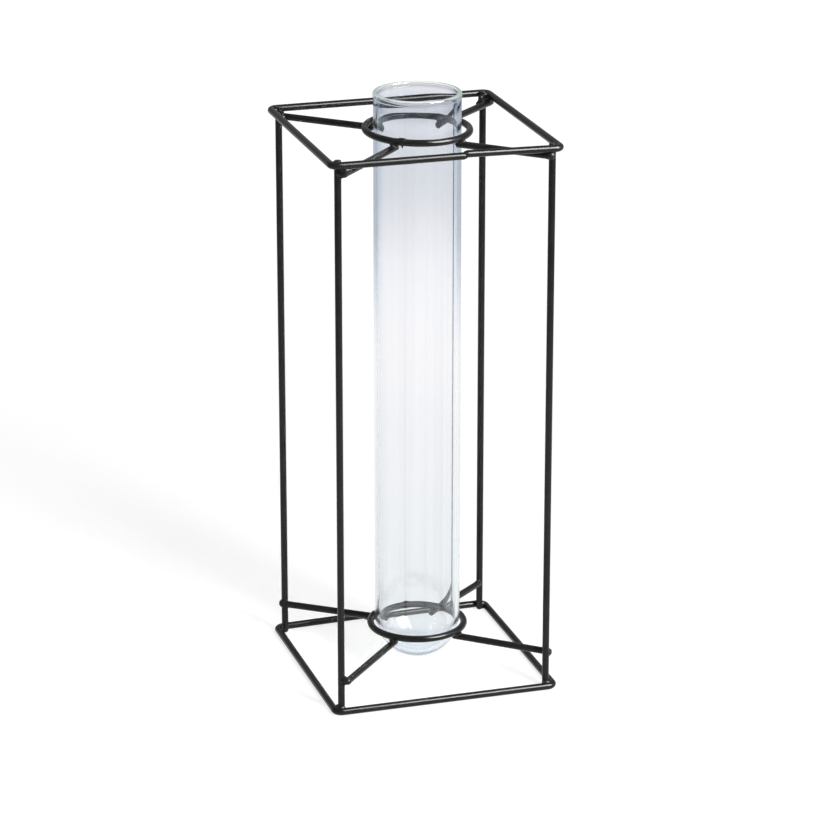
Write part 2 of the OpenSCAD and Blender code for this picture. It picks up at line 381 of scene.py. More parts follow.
def wirePiece(name, path, values, seed):
    clean = [path[0]]
    for point in path[1:]:
        if (point - clean[-1]).length > wireValues["leastStep"]:
            clean.append(point)
    bevels = (values["startBevel"], values["endBevel"])
    path = cutEnds(clean, bevels)
    mesh = bpy.data.meshes.new(name)
    mesh.from_pydata(path, [(i, i + 1) for i in range(len(path) - 1)], [])
    obj = bpy.data.objects.new(name, mesh)
    bpy.context.collection.objects.link(obj)
    modifier = obj.modifiers.new("drawn wire", "NODES")
    modifier.node_group = wireTree
    setInputs(modifier, {
        "Wire radius": values["wire"] / 2,
        "Sides": values["sides"],
        "Start bevel": bevels[0],
        "End bevel": bevels[1],
        "Paint wave": values["paintWave"],
        "Wave size": values["waveSize"],
        "Seed": seed,
        "Paint": wirePaint,
    })
    return plainMesh(obj, name)


def finish(obj, body, nodes):
    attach(obj, body)
    if nodes:
        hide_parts(*nodes)


# Two hoops, each one wire bent round the posts, with its two ends meeting in one side
hoopValues = {
    "wire": cradle["hoopWire"],
    # how far right of the middle the ends meet, how far apart, and how much higher the right one is
    "seamPlace": 7.6 * mm,
    "seamGap": 0.4 * mm,
    "seamStep": 0.8 * mm,
    "straightStep": 1.2 * mm,
    "bendStep": math.radians(5),
    "sides": 36,
    "startBevel": 0.5 * mm,
    "endBevel": 0.5 * mm,
    "paintWave": 0.04 * mm,
    "waveSize": 150.0,
}


def hoopPath(values):
    # the hoop at height zero with its seam in the front wire, from the left end round to the right
    half = cradle["hoopWidth"] / 2
    bend = cradle["cornerBend"]
    post = half - bend
    seam = values["seamPlace"]
    step = values["straightStep"]
    turn = values["bendStep"]
    right = math.radians(90)
    path = straight(Vector((seam - values["seamGap"] / 2, -half, 0)), Vector((-post, -half, 0)), step)
    path += arc(Vector((-post, -post, 0)), bend, 3 * right, 2 * right, turn)
    path += straight(Vector((-half, -post, 0)), Vector((-half, post, 0)), step)
    path += arc(Vector((-post, post, 0)), bend, 2 * right, right, turn)
    path += straight(Vector((-post, half, 0)), Vector((post, half, 0)), step)
    path += arc(Vector((post, post, 0)), bend, right, 0, turn)
    path += straight(Vector((half, post, 0)), Vector((half, -post, 0)), step)
    rise = values["seamStep"] / (half - seam)
    end = arc(Vector((post, -post, 0)), bend, 0, -right, turn)
    end += straight(Vector((post, -half, 0)), Vector((seam + values["seamGap"] / 2, -half, 0)), step)
    path += [Vector((p.x, p.y, (half - p.x) * rise)) for p in end]
    return path


# the lower hoop is the same hoop turned half round, so its seam lies in the back wire
for name, height, turned, seed in (
        ("top_hoop", cradle["frameHeight"] - cradle["hoopWire"] / 2, 1, 1.0),
        ("bottom_hoop", cradle["hoopWire"] / 2, -1, 2.0)):
    path = [Vector((p.x * turned, p.y * turned, p.z + height)) for p in hoopPath(hoopValues)]
    finish(wirePiece(name + "_wire", path, hoopValues, seed), "frame", [name])
print("bud vase: hoops bent")


# Four posts, cut square at the top; the weld has rounded their feet
postValues = {
    "wire": cradle["postWire"] + 2 * cradle["paint"],
    "straightStep": 1.5 * mm,
    "sides": 36,
    "startBevel": 1.35 * mm,
    "endBevel": 0.3 * mm,
    "paintWave": 0.04 * mm,
    "waveSize": 130.0,
}
for index, corner in enumerate(cornerNames):
    low, high = sorted(wireLine("post_" + corner), key=lambda p: p.z)
    path = straight(low, high, postValues["straightStep"])
    post = wirePiece("post_" + corner + "_wire", path, postValues, 10.0 + index)
    finish(post, "frame", ["post_" + corner])
print("bud vase: posts cut")


# Two rings, each a wire rolled into a circle with a seam; the top one leans. Angles run
# anticlockwise from the right, seen from above.
ringValues = {
    "wire": cradle["ringWire"] + 2 * cradle["paint"],
    "seamGap": 0.4 * mm,
    "turnStep": math.radians(1.5),
    "sides": 36,
    "startBevel": 0.3 * mm,
    "endBevel": 0.3 * mm,
    "paintWave": 0.04 * mm,
    "waveSize": 170.0,
    # how far it leans, and the side on which it is high
    "leanAngle": math.radians(1.8),
    "leanToward": math.radians(115),
    "rings": {
        "top_ring": {"radius": 22.5 * mm, "height": 246 * mm, "seam": math.radians(236),
                     "leans": True},
        "bottom_ring": {"radius": 20.9 * mm, "height": 18.2 * mm, "seam": math.radians(88),
                        "leans": False},
    },
}


def ringArc(size, start, end, step):
    # points along a ring, in its place and with its lean
    toward = ringValues["leanToward"]
    axis = Vector((math.sin(toward), -math.cos(toward), 0))
    angle = ringValues["leanAngle"] if size["leans"] else 0
    lean = Matrix.Rotation(angle, 3, axis)
    middle = cradle["tubeMiddle"] + Vector((0, 0, size["height"]))
    return [middle + lean @ p for p in arc(Vector((0, 0, 0)), size["radius"], start, end, step)]


for seed, (name, size) in enumerate(ringValues["rings"].items()):
    gap = math.asin(ringValues["seamGap"] / 2 / size["radius"])
    path = ringArc(size, size["seam"] + gap, size["seam"] + math.tau - gap, ringValues["turnStep"])
    ring = wirePiece(name + "_wire", path, ringValues, 20.0 + seed)
    finish(ring, "frame", [name])
print("bud vase: rings rolled")


# Eight spokes, cut off just past their posts and inside their ring
spokeValues = {
    "wire": cradle["spokeWire"] + 2 * cradle["paint"],
    "straightStep": 0.8 * mm,
    "sides": 36,
    "startBevel": 0.4 * mm,
    "endBevel": 0.9 * mm,
    "paintWave": 0.04 * mm,
    "waveSize": 190.0,
    # how much shorter the outer ends are than in the solids, so that paint and weld find room
    "trim": {
        "top": (0.08 * mm, 0.08 * mm, 0.08 * mm, 0.08 * mm),
        "bottom": (0.08 * mm, 0.8 * mm, 0.5 * mm, 0.08 * mm),
    },
}
spokeLines = {}
for level, seed in (("top", 30.0), ("bottom", 40.0)):
    for index, corner in enumerate(cornerNames):
        name = level + "_spoke_" + corner
        inner, outer = sorted(wireLine(name), key=lambda p: (p - cradle["tubeMiddle"]).xy.length)
        outer += (inner - outer).normalized() * spokeValues["trim"][level][index]
        spokeLines[name] = (inner, outer)
        path = straight(inner, outer, spokeValues["straightStep"])
        spoke = wirePiece(name + "_wire", path, spokeValues, seed + index)
        finish(spoke, "frame", [name])
print("bud vase: spokes cut")


# Melts the points of a weld into one skin: each point is a ball of metal, the skin round them all
# is drawn smooth so that it fills the grooves, and gets ripples
def weldTree(values):
    tree, given, result = makeTree("weld bead", [
        ("Voxel", "NodeSocketFloat", 0.2 * mm),
        ("Smoothing", "NodeSocketInt", 6),
        ("Ripple", "NodeSocketFloat", 0.1 * mm),
        ("Ripple size", "NodeSocketFloat", 500.0),
        ("Seed", "NodeSocketFloat", 0.0),
        ("Paint", "NodeSocketMaterial", None)])
    link = tree.links.new

    ball = tree.nodes.new("GeometryNodeInputNamedAttribute")
    ball.data_type = "FLOAT"
    ball.inputs["Name"].default_value = "ballRadius"
    toPoints = tree.nodes.new("GeometryNodeMeshToPoints")
    link(given.outputs["Geometry"], toPoints.inputs["Mesh"])
    link(ball.outputs["Attribute"], toPoints.inputs["Radius"])
    volume = tree.nodes.new("GeometryNodePointsToVolume")
    volume.resolution_mode = "VOXEL_SIZE"
    link(toPoints.outputs["Points"], volume.inputs["Points"])
    link(given.outputs["Voxel"], volume.inputs["Voxel Size"])
    radius = tree.nodes.new("GeometryNodeInputRadius")
    link(radius.outputs["Radius"], volume.inputs["Radius"])
    skin = tree.nodes.new("GeometryNodeVolumeToMesh")
    skin.resolution_mode = "VOXEL_SIZE"
    link(volume.outputs["Volume"], skin.inputs["Volume"])
    link(given.outputs["Voxel"], skin.inputs["Voxel Size"])
    skin.inputs["Threshold"].default_value = values["skinLevel"]

    place = tree.nodes.new("GeometryNodeInputPosition")
    blur = tree.nodes.new("GeometryNodeBlurAttribute")
    blur.data_type = "FLOAT_VECTOR"
    link(place.outputs["Position"], blur.inputs["Value"])
    link(given.outputs["Smoothing"], blur.inputs["Iterations"])
    settle = tree.nodes.new("GeometryNodeSetPosition")
    link(skin.outputs["Mesh"], settle.inputs["Geometry"])
    link(blur.outputs["Value"], settle.inputs["Position"])

    noise = unevenness(tree, given, "Ripple size", values["rippleDetail"])
    level = mathNode(tree, "SUBTRACT", noise, 0.5)
    height = mathNode(tree, "MULTIPLY", level, given.outputs["Ripple"])
    handOver(tree, shifted(tree, settle.outputs["Geometry"], height), given, result)
    return tree


weldValues = {
    "voxel": 0.2 * mm,
    "skinLevel": 0.1,
    "smoothing": 20,
    "ripple": 0.12 * mm,
    "rippleSize": 420.0,
    "rippleDetail": 2,
    "pointStep": 0.2 * mm,
    # how far a bead stands out from its wire at the joint, sinks into it at its ends and reaches
    "swell": 0.2 * mm,
    "under": 0.28 * mm,
    "reach": 3.2 * mm,
    # at the posts
    "postUnder": 0.13 * mm,
    "endInset": 1.1 * mm,
    "grooveFill": 1.15 * mm,
    # at the rings
    "ringUnder": 0.14 * mm,
    "ringFill": 1.0 * mm,
    "ringStep": math.radians(0.5),
    # at the hoops' corners; up and back are shares of the hoop wire's radius
    "cornerUnder": 0.34 * mm,
    "cornerHalf": math.radians(62),
    "cornerStep": math.radians(3),
    "collarOut": 0.35 * mm,
    "collarFill": 0.95 * mm,
    "collarStep": math.radians(8),
    "collarUp": 0.8,
    "collarBack": 0.2,
    "footUp": 0.1 * mm,
    "footBall": 1.52 * mm,
    # where hoops and rings close
    "seamReach": 0.3 * mm,
    "seamUnder": 0.08 * mm,
    "seamUp": 0.5 * mm,
    "seamHalf": math.radians(7),
    # how thick the lump on each spoke's outer end is and how far it sits in from the cut, in mm
    "endLumps": {
        "top": ((1.68, 0.9), (1.7, 1.4), (1.45, 1.1), (1.6, 0.9)),
        "bottom": ((1.58, 1.3), (1.68, 1.4), (1.3, 0.7), (1.9, 1.2)),
    },
    # filler between a spoke, its post and the hoop over it: the corner, from and to, both
    # measured from the post's top end, and how thick, in mm
    "webs": {
        "top": (
            (0, (1.9, -1.6, -4.6), (1.5, -1.8, -2.4), 1.5),
            (0, (3.2, -1.2, -3.6), (1.8, -1.7, -3.0), 1.3),
            (0, (2.0, -2.5, -2.8), (2.8, -2.8, -4.4), 1.4),
            (0, (2.2, -2.6, -3.2), (4.6, -2.4, -3.9), 1.3),
            (1, (-1.6, -2.5, -4.6), (-1.4, -2.5, -4.5), 2.0),
            (2, (-1.2, -1.1, -2.5), (-1.2, -1.2, -4.5), 1.35),
            (2, (-1.2, -1.1, -4.6), (-2.4, -1.1, -5.3), 1.25),
            (2, (2.1, -1.9, -2.7), (2.1, -2.0, -4.0), 1.3),
            (2, (2.6, -1.6, -3.0), (3.0, -3.4, -2.4), 1.2),
            (3, (1.2, -1.7, -3.2), (1.8, 0.6, -2.6), 0.95),
        ),
        "bottom": (),
    },
}
beadTree = weldTree(weldValues)


def stub(spot, way, back, ahead, radius):
    # a short run of wire through a joint, thick at the joint and lost in the wire at its ends
    count = max(2, math.ceil((back + ahead) / weldValues["pointStep"]) + 1)
    balls = []
    for i in range(count):
        s = (back + ahead) * i / (count - 1) - back
        share = s / ahead if s > 0 else s / back
        thick = (weldValues["swell"] + weldValues["under"]) * math.cos(math.pi / 2 * share) ** 2
        balls.append((spot + way * s, radius - weldValues["under"] + thick))
    return balls


def chain(a, b, radius):
    # balls from one point to another
    count = max(2, math.ceil((b - a).length / weldValues["pointStep"]) + 1)
    return [(a.lerp(b, i / (count - 1)), radius) for i in range(count)]


def bent(spots, radius):
    # the same short run of wire along points of a bend or ring
    last = len(spots) - 1
    total = weldValues["swell"] + weldValues["under"]
    return [(p, radius - weldValues["under"] + total * math.sin(math.pi * i / last) ** 2)
            for i, p in enumerate(spots)]


def weldPiece(name, balls, nodes, seed, smoothing=weldValues["smoothing"]):
    mesh = bpy.data.meshes.new(name)
    mesh.from_pydata([p for p, r in balls], [], [])
    radii = mesh.attributes.new("ballRadius", "FLOAT", "POINT")
    radii.data.foreach_set("value", [r for p, r in balls])
    obj = bpy.data.objects.new(name, mesh)
    bpy.context.collection.objects.link(obj)
    modifier = obj.modifiers.new("weld bead", "NODES")
    modifier.node_group = beadTree
    setInputs(modifier, {
        "Voxel": weldValues["voxel"],
        "Smoothing": smoothing,
        "Ripple": weldValues["ripple"],
        "Ripple size": weldValues["rippleSize"],
        "Seed": seed,
        "Paint": weldPaint,
    })
    plainMesh(obj, name)
    print("bud vase:", name, len(obj.data.polygons), "faces")
    finish(obj, "frame", nodes)


def nearestOn(a, b, p):
    way = (b - a).normalized()
    return a + way * max(0.0, min((p - a).dot(way), (b - a).length))


up = Vector((0, 0, 1))
postR = cradle["postWire"] / 2
spokeR = cradle["spokeWire"] / 2
ringR = cradle["ringWire"] / 2
hoopR = cradle["hoopWire"] / 2
postXY = cradle["hoopWidth"] / 2 - cradle["cornerBend"]
reach = weldValues["reach"]

for level, seed in (("top", 50.0), ("bottom", 60.0)):
    # spokes to posts
    balls = []
    for index, corner in enumerate(cornerNames):
        inner, outer = spokeLines[level + "_spoke_" + corner]
        sx, sy = cornerSigns[index]
        way = (inner - outer).normalized()
        post = Vector((postXY * sx, postXY * sy, outer.z))
        beside = nearestOn(outer, inner, post)
        groove = (post + beside) / 2
        back = max((beside - outer).length - weldValues["endInset"], weldValues["pointStep"])
        balls += stub(beside, way, back, reach, spokeR)
        balls += stub(post, up, reach, reach, postR - weldValues["postUnder"])
        thick, inset = weldValues["endLumps"][level][index]
        balls.append((outer + way * (inset * mm), thick * mm))
        fill = weldValues["grooveFill"]
        balls += chain(groove - up * fill, groove + up * fill, fill)
        balls += chain(groove - way * fill, groove + way * fill, fill)
    for index, start, end, radius in weldValues["webs"][level]:
        sx, sy = cornerSigns[index]
        foot = Vector((postXY * sx, postXY * sy, cradle["frameHeight"]))
        balls += chain(foot + Vector(start) * mm, foot + Vector(end) * mm, radius * mm)
    weldPiece(level + "_post_weld_beads", balls, [level + "_post_welds"], seed)

    # spokes to the ring over them
    balls = []
    size = ringValues["rings"][level + "_ring"]
    spots = ringArc(size, 0, math.tau, weldValues["ringStep"])
    sideSteps = round(reach / size["radius"] / weldValues["ringStep"])
    for corner in cornerNames:
        inner, outer = spokeLines[level + "_spoke_" + corner]
        way = (inner - outer).normalized()
        over = min(spots, key=lambda p: (p.xy - nearestOn(outer, inner, p).xy).length)
        below = nearestOn(outer, inner, over)
        groove = (over + below) / 2
        index = spots.index(over)
        balls += bent([spots[(index + turn) % (len(spots) - 1)]
                       for turn in range(-sideSteps, sideSteps + 1)],
                      ringR - weldValues["ringUnder"])
        balls += stub(below, way, reach, (inner - below).length, spokeR - weldValues["ringUnder"])
        side = way.cross(up).normalized()
        fill = weldValues["ringFill"]
        balls += chain(groove - side * fill, groove + side * fill, fill)
        balls += chain(groove - way * fill, groove + way * fill / 2, fill)
    weldPiece(level + "_ring_weld_beads", balls, [level + "_ring_welds"], seed + 1)

    # posts to the hoop that is bent round them, and the lumps that close the posts' feet
    balls = []
    hoopZ = hoopR if level == "bottom" else cradle["frameHeight"] - hoopR
    inward = 1 if level == "bottom" else -1
    spread = weldValues["cornerHalf"]
    fill = weldValues["collarFill"]
    for sx, sy in cornerSigns:
        post = Vector((postXY * sx, postXY * sy, hoopZ))
        out = math.atan2(sy, sx)
        balls += bent(arc(post, cradle["cornerBend"], out - spread, out + spread,
                          weldValues["cornerStep"]), hoopR - weldValues["cornerUnder"])
        balls += stub(post, up * inward, hoopR * weldValues["collarBack"], reach, postR)
        collar = arc(post, postR + weldValues["collarOut"], out - spread, out + spread,
                     weldValues["collarStep"])
        balls += [(p + up * inward * hoopR * weldValues["collarUp"], fill) for p in collar]
        for spot in (collar[0], collar[-1]):
            balls += chain(spot - up * fill / 2, spot + up * fill / 2, fill)
        if level == "bottom":
            balls.append((post + up * weldValues["footUp"], weldValues["footBall"]))
    weldPiece(level + "_corner_weld_beads", balls, [level + "_corner_welds"], seed + 2)

# the beads that close hoops and rings
half = cradle["hoopWidth"] / 2
seam = hoopValues["seamPlace"]
rise = hoopValues["seamStep"]
balls = []
for height, side in ((cradle["frameHeight"] - hoopR, 1), (hoopR, -1)):
    low = Vector(((seam - weldValues["seamReach"]) * side, -half * side, height))
    high = Vector(((seam + weldValues["seamReach"]) * side, -half * side, height + rise))
    balls += chain(low, high, hoopR - weldValues["seamUnder"])
weldPiece("hoop_seam_beads", balls, ["hoop_seam_welds"], 70.0)

balls = []
spread = weldValues["seamHalf"]
for size in ringValues["rings"].values():
    spots = ringArc(size, size["seam"] - spread, size["seam"] + spread, weldValues["ringStep"])
    balls += bent(spots, ringR)
    third = len(spots) // 3
    balls += [(p + up * weldValues["seamUp"], ringR) for p in spots[third:-third]]
weldPiece("ring_seam_beads", balls, ["ring_seam_welds"], 71.0)
print("bud vase: welds laid")

# Small burrs and drips of paint on the rings: where round the ring, how far it points up or down
dripValues = {
    "top_ring": ((math.radians(236.5), -2.5 * mm),),
    "bottom_ring": ((math.radians(148), 2.5 * mm), (math.radians(300), -1.75 * mm)),
    "thick": 0.55 * mm,
    "thin": 0.3 * mm,
    # the share of its length at which a drip leaves the wire
    "start": 0.5,
    "steps": 11,
    "smoothing": 3,
}
balls = []
for name, size in ringValues["rings"].items():
    for turn, length in dripValues[name]:
        spot = ringArc(size, turn, turn, weldValues["ringStep"])[0]
        for i in range(dripValues["steps"] + 1):
            share = i / dripValues["steps"]
            radius = dripValues["thick"] + (dripValues["thin"] - dripValues["thick"]) * share
            along = dripValues["start"] + (1 - dripValues["start"]) * share
            balls.append((spot + up * length * along, radius))
weldPiece("paint_drips", balls, [], 72.0, dripValues["smoothing"])

# The glass: a drawn tube, blown round at the foot and melted round at the rim
tubeValues = {
    "diameter": 38 * mm,
    "wall": 1.8 * mm,
    "footGap": 2.9 * mm,
    "rimHeight": 262.5 * mm,
    # the bead stands out from the wall, above a small step
    "rimBeadOut": 0.2 * mm,
    "stepBelowRim": 2.65 * mm,
    "stepHeight": 0.5 * mm,
    # how much thicker the glass is in the middle of its bottom
    "poleThicker": 0.5 * mm,
    "ringSteps": 160,
    "domeSteps": 40,
    "beadSteps": 28,
    "flareSteps": 8,
    "wallStep": 3 * mm,
    # the wall is a little out of round: how deep, and the waves that add up to it, each with how
    # often it runs round, its shift and its share
    "drawnWave": 0.02 * mm,
    "waves": ((3, 0.8, 1.0), (7, 2.0, 0.5)),
}


def tubeProfile(values):
    # from the outer pole up the outside, over the rim and down the inside, as (radius, height)
    outer = values["diameter"] / 2
    inner = outer - values["wall"]
    dome = values["footGap"] + outer
    bead = (values["wall"] + values["rimBeadOut"]) / 2
    beadZ = values["rimHeight"] - bead
    stepZ = values["rimHeight"] - values["stepBelowRim"]
    steps = values["domeSteps"]
    walls = max(2, round((stepZ - dome) / values["wallStep"]))
    profile = []
    for i in range(steps + 1):
        t = math.pi / 2 * i / steps
        profile.append((outer * math.sin(t), dome - outer * math.cos(t)))
    for i in range(1, walls + 1):
        profile.append((outer, dome + (stepZ - dome) * i / walls))
    # the melted rim stands a little proud of the wall under it
    flare = values["flareSteps"]
    for i in range(1, flare + 1):
        t = i / flare
        ease = t * t * (3 - 2 * t)
        profile.append((outer + values["rimBeadOut"] * ease, stepZ + values["stepHeight"] * t))
    for i in range(values["beadSteps"] + 1):
        t = math.pi * i / values["beadSteps"]
        profile.append((inner + bead + bead * math.cos(t), beadZ + bead * math.sin(t)))
    for i in range(1, walls + 1):
        profile.append((inner, beadZ + (dome - beadZ) * i / walls))
    thicker = values["poleThicker"]
    for i in range(1, steps + 1):
        t = math.pi / 2 * (1 - i / steps)
        lift = thicker * math.cos(t) ** 3
        profile.append((inner * math.sin(t), dome - inner * math.cos(t) + lift))
    return profile


def glassTube(values):
    profile = tubeProfile(values)
    turns = values["ringSteps"]
    middle = cradle["tubeMiddle"]
    verts = []
    faces = []
    poleOut = 0
    verts.append((middle.x, middle.y, profile[0][1]))
    body = profile[1:-1]
    # the waves only ever take away, up to their full depth
    most = sum(size for often, shift, size in values["waves"])
    for r, z in body:
        for k in range(turns):
            a = math.tau * k / turns
            wave = sum(size * math.sin(often * a + shift) for often, shift, size in values["waves"])
            wave = values["drawnWave"] * (wave - most) / (2 * most)
            shrink = min(1.0, r / (values["diameter"] / 2)) * wave
            verts.append((middle.x + (r + shrink) * math.cos(a),
                          middle.y + (r + shrink) * math.sin(a), z))
    poleIn = len(verts)
    verts.append((middle.x, middle.y, profile[-1][1]))
    for k in range(turns):
        n = (k + 1) % turns
        faces.append((poleOut, 1 + n, 1 + k))
        for row in range(len(body) - 1):
            a = 1 + row * turns
            b = a + turns
            faces.append((a + k, a + n, b + n, b + k))
        last = 1 + (len(body) - 1) * turns
        faces.append((last + k, last + n, poleIn))
    mesh = bpy.data.meshes.new("glass_tube_blown")
    mesh.from_pydata(verts, [], faces)
    mesh.update()
    for polygon in mesh.polygons:
        polygon.use_smooth = True
    obj = bpy.data.objects.new("glass_tube_blown", mesh)
    bpy.context.collection.objects.link(obj)
    return obj


glassValues = {
    "ior": 1.47,
    # painted shade: the glass's colour is darker and bluer by height, standing in for light and
    # shade, with a dark band under the rim
    "shadeByHeight": (
        (2.9 * mm, (0.84, 0.872, 0.91)),
        (12 * mm, (0.865, 0.892, 0.915)),
        (30 * mm, (0.872, 0.89, 0.9)),
        (60 * mm, (0.893, 0.906, 0.92)),
        (100 * mm, (0.916, 0.92, 0.938)),
        (150 * mm, (0.948, 0.946, 0.96)),
        (175 * mm, (0.952, 0.952, 0.965)),
        (190 * mm, (0.942, 0.942, 0.962)),
        (205 * mm, (0.892, 0.898, 0.921)),
        (220 * mm, (0.838, 0.85, 0.882)),
        (240 * mm, (0.82, 0.838, 0.87)),
        (250.5 * mm, (0.835, 0.85, 0.885)),
        (256.5 * mm, (0.68, 0.705, 0.765)),
        (259.6 * mm, (0.75, 0.775, 0.82)),
        (260.3 * mm, (0.68, 0.69, 0.735)),
        (260.8 * mm, (0.36, 0.355, 0.395)),
    ),
    "rimTint": (0.95, 0.982, 0.965),
    "rimFrom": 260.9 * mm,
    "rimTo": 261.5 * mm,
    # painted shade: the glass is coloured darker and bluer where it turns edge on, partly for its
    # longer path through the wall; how much changes with height and at the rim
    "edgeFrom": 0.37,
    "edgeTo": 0.72,
    "edgeShade": (0.905, 0.925, 0.95),
    "highEdgeShade": (0.95, 0.985, 1.03),
    "highFrom": 150 * mm,
    "highTo": 200 * mm,
    "rimEdgeShade": (0.60, 0.70, 0.64),
    # long faint lines from drawing, which the flame took off the bottom and the rim
    "lineDetail": 2,
    "lineLength": 0.012,
    "streakScale": 210.0,
    "streakFrom": 0.35,
    "streakTo": 0.65,
    "streakShade": 0.03,
    "bumpScale": 260.0,
    "drawLines": 0.12,
    "drawDepth": 0.02 * mm,
    "drawnFrom": (20 * mm, 30 * mm),
    "drawnTo": (252 * mm, 259 * mm),
    # painted light: rays that have gone through or been turned back this often make the glass glow,
    # in place of light trapped in the wall; the glow is darker and bluer near the foot
    "lostAfter": 5.0,
    "paintedGlow": (0.68, 0.745, 0.70, 1),
    "paintedGlowLow": (0.42, 0.47, 0.52, 1),
    "lowFrom": 14 * mm,
    "lowTo": 24 * mm,
    # faint smears where hands held it
    "smearScale": 38.0,
    "smearDetail": 5,
    "smearFrom": 0.55,
    "smearTo": 0.8,
    "clean": 0.0,
    "smeared": 0.03,
}


def glassMaterial(values):
    material = bpy.data.materials.new("clear drawn glass")
    material.use_nodes = True
    tree = material.node_tree
    link = tree.links.new
    skin = tree.nodes["Principled BSDF"]
    skin.inputs["Transmission Weight"].default_value = 1.0
    skin.inputs["Metallic"].default_value = 0.0
    skin.inputs["IOR"].default_value = values["ior"]
    place = tree.nodes.new("ShaderNodeTexCoord")
    split = tree.nodes.new("ShaderNodeSeparateXYZ")
    link(place.outputs["Object"], split.inputs["Vector"])
    height = split.outputs["Z"]

    # painted shade: greyer and bluer towards the top and the foot, clear again in the melted rim
    ramp = tree.nodes.new("ShaderNodeValToRGB")
    ramp.color_ramp.interpolation = "EASE"
    stops = ramp.color_ramp.elements
    while len(stops) < len(values["shadeByHeight"]):
        stops.new(0.5)
    whole = tubeValues["rimHeight"]
    # all stops get their places first, since they are sorted by place
    for stop, (level, tint) in zip(stops, values["shadeByHeight"]):
        stop.position = level / whole
    for stop, (level, tint) in zip(stops, values["shadeByHeight"]):
        stop.color = tint + (1,)
    link(mathNode(tree, "DIVIDE", height, whole), ramp.inputs["Fac"])
    atRim = remap(tree, height, values["rimFrom"], values["rimTo"])
    colour = mixed(tree, atRim, ramp.outputs["Color"], values["rimTint"] + (1,))

    # painted shade where the glass turns edge on, set by height and at the rim
    facing = tree.nodes.new("ShaderNodeLayerWeight")
    facing.inputs["Blend"].default_value = 0.5
    edge = remap(tree, facing.outputs["Facing"], values["edgeFrom"], values["edgeTo"])
    high = remap(tree, height, values["highFrom"], values["highTo"])
    shade = mixed(tree, high, values["edgeShade"] + (1,), values["highEdgeShade"] + (1,))
    shade = mixed(tree, atRim, shade, values["rimEdgeShade"] + (1,))
    shade = mixed(tree, 1.0, colour, shade, "MULTIPLY")
    colour = mixed(tree, edge, colour, shade, "MULTIPLY")

    # painted light: the glass glows with a set colour at one ray depth, darker near the foot
    rays = tree.nodes.new("ShaderNodeLightPath")
    # the third number lets only this very depth pass
    trapped = mathNode(tree, "COMPARE", rays.outputs["Ray Depth"], values["lostAfter"], 0.5)
    above = remap(tree, height, values["lowFrom"], values["lowTo"])
    paintedGlow = mixed(tree, above, values["paintedGlowLow"], values["paintedGlow"])
    link(mixed(tree, trapped, (0, 0, 0, 1), paintedGlow), skin.inputs["Emission Color"])
    skin.inputs["Emission Strength"].default_value = 1.0
    material.cycles.emission_sampling = "NONE"

    def drawnNoise(scale):
        squeeze = tree.nodes.new("ShaderNodeMapping")
        squeeze.inputs["Scale"].default_value = (1, 1, values["lineLength"])
        link(place.outputs["Object"], squeeze.inputs["Vector"])
        noise = tree.nodes.new("ShaderNodeTexNoise")
        noise.inputs["Scale"].default_value = scale
        noise.inputs["Detail"].default_value = values["lineDetail"]
        link(squeeze.outputs["Vector"], noise.inputs["Vector"])
        return noise.outputs["Fac"]

    streak = remap(tree, drawnNoise(values["streakScale"]), values["streakFrom"],
                   values["streakTo"], 1 - values["streakShade"], 1)
    link(mixed(tree, 1.0, colour, streak, "MULTIPLY"), skin.inputs["Base Color"])

    bump = tree.nodes.new("ShaderNodeBump")
    bump.inputs["Strength"].default_value = values["drawLines"]
    bump.inputs["Distance"].default_value = values["drawDepth"]
    drawn = mathNode(tree, "MULTIPLY", remap(tree, height, *values["drawnFrom"]),
                     remap(tree, height, *values["drawnTo"], 1, 0))
    lines = mathNode(tree, "MULTIPLY", drawnNoise(values["bumpScale"]), drawn)
    link(lines, bump.inputs["Height"])
    link(bump.outputs["Normal"], skin.inputs["Normal"])

    smear = tree.nodes.new("ShaderNodeTexNoise")
    smear.inputs["Scale"].default_value = values["smearScale"]
    smear.inputs["Detail"].default_value = values["smearDetail"]
    link(place.outputs["Object"], smear.inputs["Vector"])
    rough = remap(tree, smear.outputs["Fac"], values["smearFrom"], values["smearTo"],
                  values["clean"], values["smeared"])
    link(rough, skin.inputs["Roughness"])
    return material


tube = glassTube(tubeValues)
tube.data.materials.append(glassMaterial(glassValues))
finish(tube, "tube", ["glass_tube"])
print("bud vase: glass tube drawn")


# A white floor that runs out of the picture
floorValues = {
    "size": 8.0,
    "diffuse": 0.4,
    # its own white, a little stronger far out where the lamp no longer reaches
    "ownNear": 0.77,
    "ownFar": 0.92,
    "near": 0.2,
    "far": 1.2,
    # how much of it a reflection shows: all close by, less further off and least in front
    "mirroredNear": 1.0,
    "mirroredFront": 0.16,
    "mirroredBehind": 0.47,
    "mirrorNear": 0.42,
    "mirrorFar": 0.72,
    "frontFrom": -0.35,
    "frontTo": 0.25,
    # and what is left of it there is a little bluer
    "mirrorTint": (0.83, 1.05, 1.3, 1),
}


